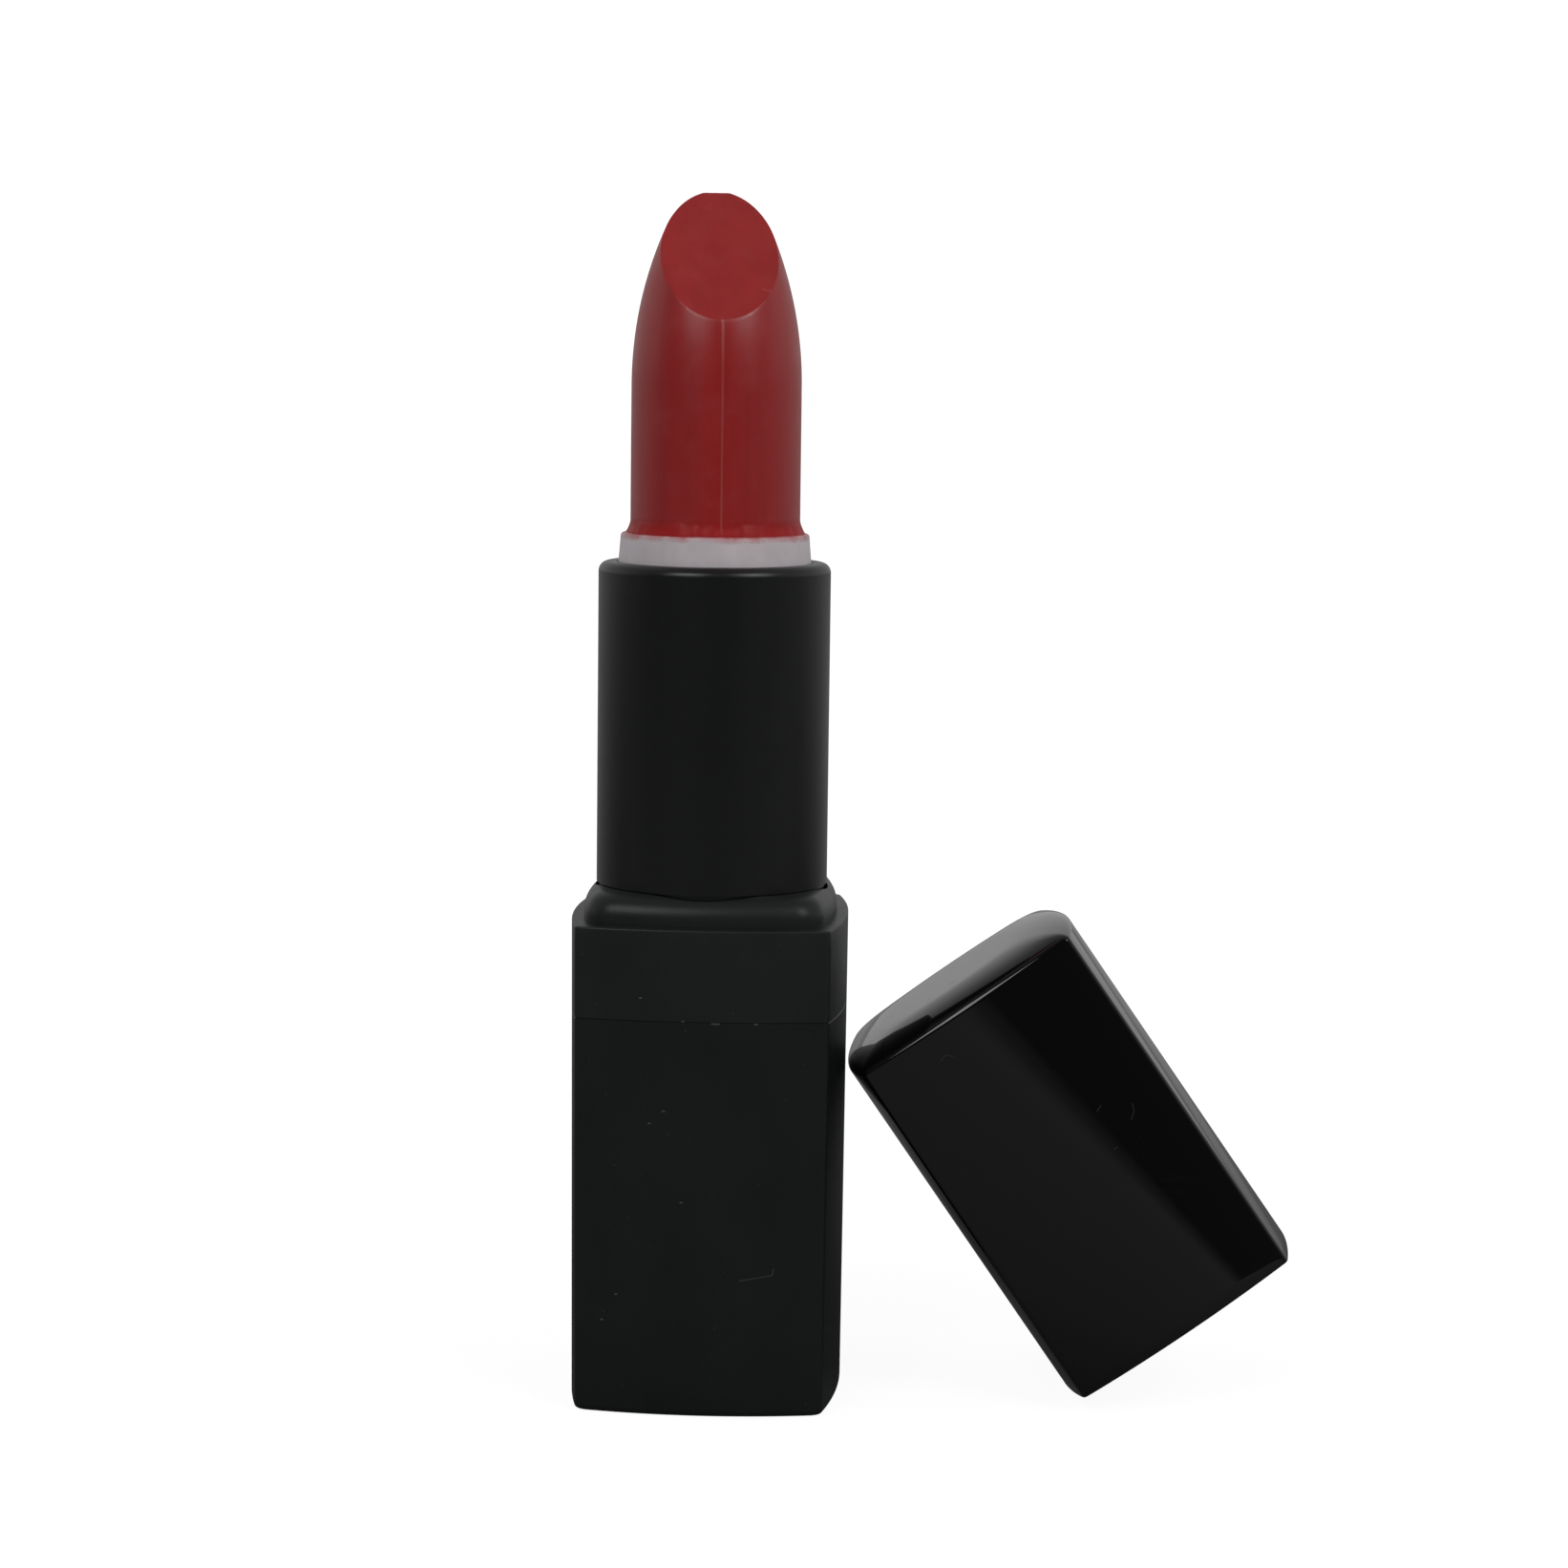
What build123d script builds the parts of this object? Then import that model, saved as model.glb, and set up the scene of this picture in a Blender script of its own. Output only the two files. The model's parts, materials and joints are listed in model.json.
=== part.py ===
from build123d import *
from math import cos, hypot, pi, radians, sin, sqrt
import os

# A square lipstick case with its bullet wound right up and its cap off, leaning on the base.
# Millimetres. The origin is the centre of the base's bottom face, +Z is up along the
# mechanism's axis, -Y is the front, and the cap leans on the +X side.

# ---- driving dimensions -------------------------------------------------------------------

BULLET_R = 6.05          # standard 12.1 mm bullet
SLEEVE_R = 8.30          # outside of the round sleeve that the cap grips
TRAVEL = 27.5            # how far the bullet winds up and down
PITCH = 11.0             # rise of the helical grooves per turn

SEAM_Z = 28.35           # where the collar meets the base shell
LEDGE_Z = 34.85          # the ledge that the closed cap lands on
BOSS_TOP_Z = 37.0        # top of the cushion that fills the cap's mouth
SLEEVE_TOP_Z = 60.0
CUP_TOP_Z = 62.05

CASE_HALF = 8.94         # half the corner-to-corner width of the case at the ledge
CASE_HALF_BOTTOM = 8.78  # the same at the bottom face
CASE_BOW = 0.925         # how far each side bulges between its corners
CASE_WALL = 0.95
CORNER_R = 0.45          # rounding of the upright corners of the case and the cap

CAP_HALF_OPEN = 8.77     # as CASE_HALF, at the cap's open rim
CAP_HALF_TOP = 8.76      # as CASE_HALF, at the cap's top edge
CAP_BOW = 0.935
CAP_WALL = 0.62
CAP_LENGTH = 27.95       # from the open rim to the top edge
DOME_RISE = 1.4          # from the top edge to the crown
DOME_SPAN = 4.5          # width of its curved border

CAP_LEAN = 35.0          # tilt of the leaning cap from upright, in degrees
CAP_TWIST = 4.8          # turn of the cap about its own axis, in degrees
CAP_Y = 3.5              # how far behind the base's centre the cap stands

# ---- the bullet's nose --------------------------------------------------------------------

SHOULDER_Z = 72.54       # where the straight stick starts to curve in
NOSE_ARC_R = 27.2        # radius of that curve
NOSE_TOP_Z = 86.1        # the blunt tip
SLANT_AXIS_Z = 83.55     # where the slanted face crosses the axis
SLANT_ANGLE = 48.6       # slope of the slanted face, in degrees
SLANT_TURN = 8.0         # turn of the slanted face from the front, in degrees

# ---- clearances ---------------------------------------------------------------------------

RUN_GAP = 0.03           # radial, between the two tubes that turn on each other
SLIDE_GAP = 0.08         # radial, between the cup and the tube it slides in
OPENING_GAP = 0.08       # radial, between the sleeve and the collar's opening
CAP_GAP = 0.06           # radial, between the sleeve and the cap's liner
FIXED_GAP = 0.02         # between parts that are pressed or glued together
LEAN_GAP = 0.03          # between the leaning cap and the base

# ---- internal parts -----------------------------------------------------------------------

FLOOR_T = 1.3            # thickness of the base shell's floor
LABEL_R = 5.5
LABEL_T = 0.12
WEIGHT_R = 7.4
WEIGHT_H = 6.0
CORE_TOP_Z = 18.5        # top of the carrier that holds the mechanism's foot
CORE_FLOOR_T = 2.0
CORE_HOLE_R = 2.5
FOOT_DEPTH = 8.0         # how deep the slotted tube's foot stands in the carrier
SKIRT_LENGTH = 6.0       # how far the collar plugs into the base shell
SLEEVE_FOOT_Z = 21.35
SLEEVE_LIP_T = 0.55
SLEEVE_EDGE_R = 0.7
NECK_DEPTH = 0.2         # groove round the sleeve, just inside the collar's opening
NECK_LENGTH = 0.85

CUP_R = 6.89             # outside of the cup, below its tapered rim
CUP_RIM_R = 6.72
CUP_BOTTOM_Z = 49.0
CUP_FLOOR_T = 1.0
LUG_R = 0.85             # radius of the two pins on the cup
LUG_Z = 50.9
LUG_REACH = 7.80         # how far the pins reach from the axis

SLOTTED_R = CUP_R + SLIDE_GAP                   # bore of the slotted tube
SLOTTED_WALL = 0.40
SPIRAL_R = SLOTTED_R + SLOTTED_WALL + RUN_GAP   # bore of the spiral tube
SPIRAL_WALL = 0.46
SPIRAL_END = 1.05                               # from the sleeve's top down to the spiral tube
SLOT_W = 2 * LUG_R + 0.2                        # width of the straight slots
GROOVE_W = 2 * LUG_R + 0.3                      # width of the helical grooves
FLANGE_T = 1.0
FLANGE_TOP_Z = CORE_TOP_Z + FIXED_GAP + FLANGE_T
RING_R = 0.38                                   # radius of the friction ring's section

LINER_LOW = BOSS_TOP_Z - LEDGE_Z + 0.25         # above the cap's rim, clear of the boss
LINER_ROOF_T = 0.7
CAP_ROOF_INSET = 0.4                            # from the top edge down to the cap's ceiling


# ---- outlines -----------------------------------------------------------------------------

def pillow(half, bow, corner_r):
    """A square face whose four sides bulge by bow and meet at rounded corners."""
    corners = [(half, -half), (half, half), (-half, half), (-half, -half)]
    crest = half + bow
    crests = [(crest, 0), (0, crest), (-crest, 0), (0, -crest)]
    sides = [
        ThreePointArc(corners[side], crests[side], corners[(side + 1) % 4])
        for side in range(4)
    ]
    face = make_face(sides)
    return fillet(face.vertices(), corner_r)


def tapered(half_low, half_high, z_low, z_high, bow, inset):
    """A pillow-sided block between two heights, drawn in by inset on every side."""
    corner_r = max(CORNER_R - inset / 3, 0.2)
    low = Pos(0, 0, z_low) * pillow(half_low - inset, bow, corner_r)
    high = Pos(0, 0, z_high) * pillow(half_high - inset, bow, corner_r)
    return loft([low, high], ruled=True)


def case_half(z):
    """Half the case's corner-to-corner width at height z."""
    return CASE_HALF_BOTTOM + (CASE_HALF - CASE_HALF_BOTTOM) * z / LEDGE_Z


def case_block(z_low, z_high, inset=0.0):
    """A stretch of the case's outer form."""
    return tapered(case_half(z_low), case_half(z_high), z_low, z_high, CASE_BOW, inset)


def cap_block(z_low, z_high, inset=0.0):
    """A stretch of the cap's outer form between two heights above its rim."""
    taper = (CAP_HALF_TOP - CAP_HALF_OPEN) / CAP_LENGTH
    half_low = CAP_HALF_OPEN + taper * z_low
    half_high = CAP_HALF_OPEN + taper * z_high
    return tapered(half_low, half_high, z_low, z_high, CAP_BOW, inset)


def post(r, z_low, z_high):
    """A round bar about the axis."""
    on_foot = (Align.CENTER, Align.CENTER, Align.MIN)
    return Pos(0, 0, z_low) * Cylinder(r, z_high - z_low, align=on_foot)


def tube(r_in, r_out, z_low, z_high):
    """A round tube about the axis."""
    return post(r_out, z_low, z_high) - post(r_in, z_low, z_high)


def fin(width, z_low, z_high, r_in, r_out):
    """An upright plate that runs outwards along +X."""
    on_edge = (Align.MIN, Align.CENTER, Align.MIN)
    return Pos(r_in, 0, z_low) * Box(r_out - r_in, width, z_high - z_low, align=on_edge)


def both_sides(shape):
    """The shape and its copy half a turn round the axis."""
    return [shape, Rot(0, 0, 180) * shape]


def top_edges(shape):
    return shape.faces().sort_by(Axis.Z)[-1].edges()


def bottom_edges(shape):
    return shape.faces().sort_by(Axis.Z)[0].edges()


# ---- the fixed base -----------------------------------------------------------------------

def base_shell():
    """Square case body, open at the top, with a shallow round recess underneath."""
    outer = case_block(0, SEAM_Z)
    outer = fillet(bottom_edges(outer), 0.35)
    hollow = case_block(FLOOR_T, SEAM_Z + 1, CASE_WALL)
    return outer - hollow - post(LABEL_R, 0, LABEL_T)


def shade_label():
    """Blank round label that lies flush in the recess."""
    return post(LABEL_R - FIXED_GAP, 0, LABEL_T - FIXED_GAP)


def base_weight():
    """Round slug on the floor of the base."""
    foot = FLOOR_T + FIXED_GAP
    slug = post(WEIGHT_R, foot, foot + WEIGHT_H)
    return chamfer(slug.edges().filter_by(GeomType.CIRCLE), 0.4)


def base_core():
    """Carrier that holds the weight down and the slotted tube's foot upright."""
    foot = FLOOR_T + WEIGHT_H + 2 * FIXED_GAP
    body = case_block(foot, CORE_TOP_Z, CASE_WALL + FIXED_GAP)
    body -= post(SLOTTED_R + FIXED_GAP, foot + CORE_FLOOR_T, CORE_TOP_Z)
    return body - post(CORE_HOLE_R, foot, CORE_TOP_Z)


def boss():
    """Rounded cushion on the collar, which the closed cap's mouth fits over."""
    margin = 0.85
    corner_r = 2.3
    outline = Pos(0, 0, LEDGE_Z) * pillow(CASE_HALF - margin, CASE_BOW, corner_r)
    block = extrude(outline, BOSS_TOP_Z - LEDGE_Z)
    return fillet(top_edges(block), 1.6)


def collar():
    """Square collar with its cushion, and a skirt that plugs into the base shell."""
    foot = SEAM_Z - SKIRT_LENGTH
    body = case_block(SEAM_Z, LEDGE_Z)
    body = fillet(top_edges(body), 0.15)
    body += case_block(foot, SEAM_Z, CASE_WALL + FIXED_GAP)
    return body + boss() - post(SLEEVE_R + OPENING_GAP, foot, BOSS_TOP_Z)


def slotted_tube():
    """Fixed inner tube: the cup's pins ride in its two straight slots, so the cup can't turn."""
    r_out = SLOTTED_R + SLOTTED_WALL
    flange_r = SLEEVE_R - 0.2
    top = SLEEVE_TOP_Z - SLEEVE_LIP_T - 0.05
    lip_t = 0.4
    flange_foot = FLANGE_TOP_Z - FLANGE_T
    body = tube(SLOTTED_R, r_out, FLANGE_TOP_Z, top)
    body += tube(CORE_HOLE_R, flange_r, flange_foot, FLANGE_TOP_Z)
    body += tube(SLOTTED_R - 1, SLOTTED_R, CORE_TOP_Z - FOOT_DEPTH, flange_foot)
    body += tube(SLOTTED_R, r_out + 0.3, top - lip_t, top)
    slot_low = LUG_Z - TRAVEL - SLOT_W / 2
    slot_high = LUG_Z + SLOT_W / 2
    return body - both_sides(fin(SLOT_W, slot_low, slot_high, CUP_R, SLEEVE_R))


def friction_ring():
    """Soft ring under the spiral tube, which gives the turn its drag."""
    return Pos(0, 0, FLANGE_TOP_Z + FIXED_GAP + RING_R) * Torus(SPIRAL_R + RING_R, RING_R)


# ---- the turning sleeve -------------------------------------------------------------------

def helical_groove():
    """Solid that one pin sweeps through the turning spiral tube, with room at both ends."""
    mid_r = SPIRAL_R + SPIRAL_WALL / 2
    spare_turn = GROOVE_W / 2 / mid_r / (2 * pi)
    low = LUG_Z - TRAVEL - spare_turn * PITCH
    height = TRAVEL + 2 * spare_turn * PITCH
    path = Pos(0, 0, low) * Helix(pitch=PITCH, height=height, radius=mid_r)
    across_path = Plane(origin=path @ 0, x_dir=(1, 0, 0), z_dir=path % 0)
    section = across_path * Rectangle(SPIRAL_WALL + 0.6, GROOVE_W)
    groove = sweep(section, path=path, is_frenet=True)
    # The pins stand at the top of their grooves while the bullet is right up.
    turns_to_top = TRAVEL / PITCH + spare_turn
    return Rot(0, 0, -360 * turns_to_top) * groove


def spiral_tube():
    """Tube pressed inside the sleeve: its two helical grooves drive the cup's pins."""
    low = FLANGE_TOP_Z + 2 * RING_R + 2 * FIXED_GAP
    body = tube(SPIRAL_R, SPIRAL_R + SPIRAL_WALL, low, SLEEVE_TOP_Z - SPIRAL_END)
    return body - both_sides(helical_groove())


def sleeve():
    """Round outer sleeve with a rolled-in lip round the cup and a neck at the collar's mouth."""
    neck_top = BOSS_TOP_Z + 0.05
    bore_r = SPIRAL_R + SPIRAL_WALL + FIXED_GAP
    outer = post(SLEEVE_R, SLEEVE_FOOT_Z, SLEEVE_TOP_Z)
    outer = fillet(top_edges(outer), SLEEVE_EDGE_R)
    outer -= tube(SLEEVE_R - NECK_DEPTH, SLEEVE_R + 1, neck_top - NECK_LENGTH, neck_top)
    outer -= post(bore_r, SLEEVE_FOOT_Z, SLEEVE_TOP_Z - SLEEVE_LIP_T)
    return outer - post(SLOTTED_R, SLEEVE_FOOT_Z, SLEEVE_TOP_Z)


# ---- the rising cup -----------------------------------------------------------------------

def cup():
    """Bullet holder with two pins that reach through the slots into the grooves."""
    body = post(CUP_R, CUP_BOTTOM_Z, CUP_TOP_Z)
    rim = body.faces().sort_by(Axis.Z)[-1]
    rim_height = CUP_TOP_Z - SLEEVE_TOP_Z
    body = chamfer(rim.edges(), CUP_R - CUP_RIM_R, rim_height, reference=rim)
    body = fillet(top_edges(body), 0.25)
    root = CUP_R - 0.3
    on_foot = (Align.CENTER, Align.CENTER, Align.MIN)
    pin = Pos(root, 0, LUG_Z) * Rot(0, 90, 0) * Cylinder(LUG_R, LUG_REACH - root, align=on_foot)
    body += both_sides(pin)
    return body - post(BULLET_R + FIXED_GAP, CUP_BOTTOM_Z + CUP_FLOOR_T, CUP_TOP_Z)


def nose_r(z):
    """Radius of the bullet at height z above its shoulder."""
    rise = z - SHOULDER_Z
    return BULLET_R - NOSE_ARC_R + sqrt(NOSE_ARC_R**2 - rise**2)


def lipstick_bullet():
    """Moulded stick: a round bar that curves in to its nose and is cut by one slanted face."""
    foot = CUP_BOTTOM_Z + CUP_FLOOR_T + FIXED_GAP
    middle = (SHOULDER_Z + NOSE_TOP_Z) / 2
    shoulder = (BULLET_R, SHOULDER_Z)
    tip = (nose_r(NOSE_TOP_Z), NOSE_TOP_Z)
    outline = [
        Polyline((0, NOSE_TOP_Z), (0, foot), (BULLET_R, foot), shoulder),
        ThreePointArc(shoulder, (nose_r(middle), middle), tip),
        Line(tip, (0, NOSE_TOP_Z)),
    ]
    stick = revolve(Plane.XZ * make_face(outline), Axis.Z)
    slope = radians(SLANT_ANGLE)
    outwards = Vector(0, -sin(slope), cos(slope)).rotate(Axis.Z, SLANT_TURN)
    slant = Plane(origin=(0, 0, SLANT_AXIS_Z), z_dir=outwards)
    return split(stick, slant, keep=Keep.BOTTOM)


# ---- the cap, upright, with its open rim at the origin --------------------------------------

def dome():
    """Cushioned top: its border rises steeply from the top edge and eases into a flat crown."""
    steps = 6
    layers = []
    for step in range(steps + 1):
        turn = pi / 2 * step / steps
        inset = DOME_SPAN * (1 - cos(turn))
        outline = pillow(CAP_HALF_TOP - inset, CAP_BOW, CORNER_R + inset / 2)
        layers.append(Pos(0, 0, CAP_LENGTH + DOME_RISE * sin(turn)) * outline)
    return loft(layers)


def cap_shell():
    """Glossy outer cap."""
    body = cap_block(0, CAP_LENGTH)
    body = fillet(bottom_edges(body), 0.15)
    return body + dome() - cap_block(-1, CAP_LENGTH - CAP_ROOF_INSET, CAP_WALL)


def cap_liner():
    """Round inner cup that slides over the sleeve, held square by four corner fins."""
    top = CAP_LENGTH - CAP_ROOF_INSET - FIXED_GAP
    r_in = SLEEVE_R + CAP_GAP
    r_out = CAP_HALF_TOP - CAP_WALL + CAP_BOW - 0.05
    fin_t = 0.8
    fin_reach = 10.9
    body = post(r_out, LINER_LOW, top)
    for corner in range(4):
        turn = Rot(0, 0, 45 + 90 * corner)
        body += turn * fin(fin_t, LINER_LOW + 0.5, top, r_in + 0.1, fin_reach)
    return body - post(r_in, LINER_LOW, top - LINER_ROOF_T)


def reach(half, bow, turn):
    """How far a pillow outline reaches sideways when it is turned by turn degrees."""
    arc_r = (half**2 + bow**2) / (2 * bow)
    return arc_r - (arc_r - half - bow) * cos(radians(turn))


def leaning():
    """Place of the leaning cap: its rim touches the table and its dome's border the base."""
    lean = radians(CAP_LEAN)
    top_reach = reach(CAP_HALF_TOP, CAP_BOW, CAP_TWIST)
    rim_z = reach(CAP_HALF_OPEN, CAP_BOW, CAP_TWIST) * sin(lean)
    touch_z = rim_z - top_reach * sin(lean) + CAP_LENGTH * cos(lean)
    touch_x = case_half(touch_z) + CASE_BOW + LEAN_GAP
    span = DOME_SPAN * cos(lean)
    bulge = hypot(DOME_RISE * sin(lean), span) - span
    rim_x = touch_x + bulge + top_reach * cos(lean) + CAP_LENGTH * sin(lean)
    return Pos(rim_x, CAP_Y, rim_z) * Rot(0, -CAP_LEAN, 0) * Rot(0, 0, CAP_TWIST)


# ---- write every part ---------------------------------------------------------------------

cap_place = leaning()
parts = {
    "base_shell": base_shell(),
    "shade_label": shade_label(),
    "base_weight": base_weight(),
    "base_core": base_core(),
    "collar": collar(),
    "slotted_tube": slotted_tube(),
    "friction_ring": friction_ring(),
    "spiral_tube": spiral_tube(),
    "sleeve": sleeve(),
    "cup": cup(),
    "lipstick_bullet": lipstick_bullet(),
    "cap_shell": cap_place * cap_shell(),
    "cap_liner": cap_place * cap_liner(),
}

os.makedirs("parts", exist_ok=True)
for name, part in parts.items():
    export_step(part, f"parts/{name}.step")
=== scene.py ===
import json
from math import atan2, cos, exp, pi, radians, sin, sqrt, tan

import bpy
import numpy as np
from mathutils import Matrix, Vector, noise


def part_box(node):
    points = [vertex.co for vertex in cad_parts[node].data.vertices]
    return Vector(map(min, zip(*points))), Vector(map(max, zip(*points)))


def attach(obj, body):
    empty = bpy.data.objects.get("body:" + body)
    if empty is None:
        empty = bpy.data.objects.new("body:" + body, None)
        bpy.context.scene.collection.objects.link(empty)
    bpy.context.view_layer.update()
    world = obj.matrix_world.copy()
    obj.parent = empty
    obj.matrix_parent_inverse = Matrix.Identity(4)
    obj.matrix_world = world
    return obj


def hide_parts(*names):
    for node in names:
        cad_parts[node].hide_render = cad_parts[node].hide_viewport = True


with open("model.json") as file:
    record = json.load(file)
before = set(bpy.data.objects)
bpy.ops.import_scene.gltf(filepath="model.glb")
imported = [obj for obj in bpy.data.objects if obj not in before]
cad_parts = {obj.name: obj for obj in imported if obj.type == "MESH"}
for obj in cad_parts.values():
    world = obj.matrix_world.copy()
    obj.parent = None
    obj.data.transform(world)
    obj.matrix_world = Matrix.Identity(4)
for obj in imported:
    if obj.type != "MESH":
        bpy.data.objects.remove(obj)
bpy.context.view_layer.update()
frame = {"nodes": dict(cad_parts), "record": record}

# The looks of a square lipstick case: its visible parts as fine meshes with small real
# details, a procedural material for every part, and a plain white studio.
# Shapes are worked out in millimetres in the CAD's frame and written in metres.

MM = 0.001


def low_mm(node):
    """Lowest corner of a CAD node, in millimetres."""
    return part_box(node)[0] / MM


def high_mm(node):
    """Highest corner of a CAD node, in millimetres."""
    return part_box(node)[1] / MM


# ---- sizes, from the frame and a few design values ----------------------------------------

SEAM_Z = high_mm("base_shell").z
BOSS_TOP_Z = high_mm("collar").z
LEDGE_Z = BOSS_TOP_Z - 2.15
SKIRT_Z = low_mm("collar").z
SLEEVE_TOP_Z = high_mm("sleeve").z
SLEEVE_FOOT_Z = low_mm("sleeve").z
SLEEVE_R = high_mm("sleeve").x
CUP_TOP_Z = high_mm("cup").z
LIP_Z = CUP_TOP_Z + 0.01          # foot of the melted lip, just clear of the cup's rim
BULLET_R = high_mm("lipstick_bullet").x
BULLET_FOOT_Z = low_mm("lipstick_bullet").z

CASE_HALF = 8.94          # half the corner-to-corner width of the case at the ledge
CASE_HALF_BOTTOM = 8.78
CASE_BOW = 0.925
CASE_WALL = 0.95
CORNER_R = 0.45
FLOOR_T = 1.3
LABEL_R = 5.5
LABEL_T = 0.12
FIXED_GAP = 0.02

CAP_HALF_OPEN = 8.77
CAP_HALF_TOP = 8.76
CAP_BOW = 0.935
CAP_WALL = 0.62
CAP_LENGTH = 27.95
CAP_TWIST = radians(4.8)
CAP_ROOF_INSET = 0.4
DOME_RISE = 1.4
DOME_SPAN = 4.5

SLANT_AXIS_Z = 83.55
SLANT_ANGLE = radians(48.6)
SLANT_TURN = radians(8.0)
SEAM_TURN = SLANT_TURN - pi / 2   # where the mould's parting line runs down the front
SHOULDER_Z = 72.54
NOSE_ARC_R = 27.2
NOSE_TOP_Z = 86.1


# ---- meshes from stacks of rings ----------------------------------------------------------

def skin(name, rings, smooth_angle=35, looped=False, **place):
    """A closed piece from rings of points, each with the same number, in millimetres.

    Its ends are capped, unless it is looped and the last ring joins the first.
    """
    count = len(rings[0])
    verts = [tuple(np.asarray(p) * MM) for ring in rings for p in ring]
    around = [(i, (i + 1) % count) for i in range(count)]
    faces = []
    for low in range(len(rings) if looped else len(rings) - 1):
        a = low * count
        b = (low + 1) % len(rings) * count
        faces += [(a + i, a + j, b + j, b + i) for i, j in around]
    if not looped:
        foot, top = len(verts), len(verts) + 1
        last = (len(rings) - 1) * count
        verts += [tuple(np.mean(ring, axis=0) * MM) for ring in (rings[0], rings[-1])]
        faces += [(foot, j, i) for i, j in around]
        faces += [(top, last + i, last + j) for i, j in around]
    return piece(name, verts, faces, smooth_angle, **place)


def piece(name, verts, faces, smooth_angle, body, replaces, slot):
    """A mesh object on a body of the frame, in place of some of the CAD's nodes."""
    mesh = bpy.data.meshes.new(name)
    mesh.from_pydata(verts, [], faces)
    mesh.validate()
    mesh.shade_smooth()
    mesh.set_sharp_from_angle(angle=radians(smooth_angle))
    made = bpy.data.objects.new(name, mesh)
    bpy.context.scene.collection.objects.link(made)
    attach(made, body)
    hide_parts(*replaces)
    weighted = made.modifiers.new("even_shading", "WEIGHTED_NORMAL")
    weighted.keep_sharp = True
    return made


def level(outline, z):
    """A flat ring at height z."""
    outline = np.asarray(outline)
    return np.column_stack([outline, np.full(len(outline), z)])


def circle(r, z, count=192):
    """A round ring at height z."""
    turn = np.arange(count) * 2 * pi / count
    return np.column_stack([r * np.cos(turn), r * np.sin(turn), np.full(count, z)])


def lathe(profile, count=192):
    """Rings for a turned part, from (radius, height) points."""
    return [circle(r, z, count) for r, z in profile]


def arc(centre, r, start, end, steps):
    """Points of an arc in the (radius, height) plane, angles in degrees."""
    turn = np.radians(np.linspace(start, end, steps + 1))
    return [(centre[0] + r * cos(t), centre[1] + r * sin(t)) for t in turn]


def pillow(half, bow, corner_r, side_steps=40, corner_steps=10):
    """Outline of a square whose sides bulge by bow and meet at rounded corners."""
    arc_r = (half**2 + bow**2) / (2 * bow)
    centre = half + bow - arc_r
    diagonal = (centre + sqrt(2 * (arc_r - corner_r) ** 2 - centre**2)) / 2
    swing = atan2(diagonal, diagonal - centre)
    quarter = []
    for step in range(side_steps):
        t = -swing + 2 * swing * step / side_steps
        quarter.append((centre + arc_r * cos(t), arc_r * sin(t)))
    for step in range(corner_steps):
        t = swing + (pi / 2 - 2 * swing) * step / corner_steps
        quarter.append((diagonal + corner_r * cos(t), diagonal + corner_r * sin(t)))
    quarter = np.array(quarter)
    turned = [quarter @ np.array([[cos(a), sin(a)], [-sin(a), cos(a)]]) for a in np.arange(4) * pi / 2]
    return np.concatenate(turned)


def side_reach(half, bow, across):
    """How far a side of a pillow outline stands from its centre, at a point across it."""
    arc_r = (half**2 + bow**2) / (2 * bow)
    return half + bow - arc_r + sqrt(arc_r**2 - across**2)


def on_circle(outline, r):
    """The outline's points pulled straight in or out to radius r."""
    outline = np.asarray(outline)
    return outline * (r / np.hypot(outline[:, 0], outline[:, 1]))[:, None]


def case_half(z):
    """Half the case's corner-to-corner width at height z."""
    return CASE_HALF_BOTTOM + (CASE_HALF - CASE_HALF_BOTTOM) * z / LEDGE_Z


def case_ring(z, inset=0.0):
    """The case's outline at height z, drawn in by inset."""
    corner_r = max(CORNER_R - inset / 3, 0.15)
    return level(pillow(case_half(z) - inset, CASE_BOW, corner_r), z)


# ---- the base -----------------------------------------------------------------------------

def base_shell():
    foot_r = 0.5
    seam_r = 0.05
    outside = []
    for step in range(9):
        t = step / 8 * pi / 2
        z = foot_r * (1 - cos(t))
        inset = foot_r * (1 - sin(t))
        outside.append(level(pillow(case_half(z) - inset, CASE_BOW, CORNER_R + inset), z))
    heights = np.linspace(foot_r, SEAM_Z - seam_r, 24)[1:]
    outside += [case_ring(z) for z in heights]
    outside += [case_ring(SEAM_Z, seam_r), case_ring(SEAM_Z, CASE_WALL)]
    inside = [case_ring(z, CASE_WALL) for z in (SEAM_Z - 4, FLOOR_T + 6, FLOOR_T)]
    foot = outside[0][:, :2]
    recess = [
        level(on_circle(foot, LABEL_R * 0.5), LABEL_T),
        level(on_circle(foot, LABEL_R), LABEL_T),
        level(on_circle(foot, LABEL_R), 0),
    ]
    floor = [level(on_circle(foot, LABEL_R), FLOOR_T)]
    rings = recess + outside + inside + floor
    place = {"body": "base", "replaces": ["base_shell"], "slot": "case_black"}
    return skin("base_case", rings, 30, **place)


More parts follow.
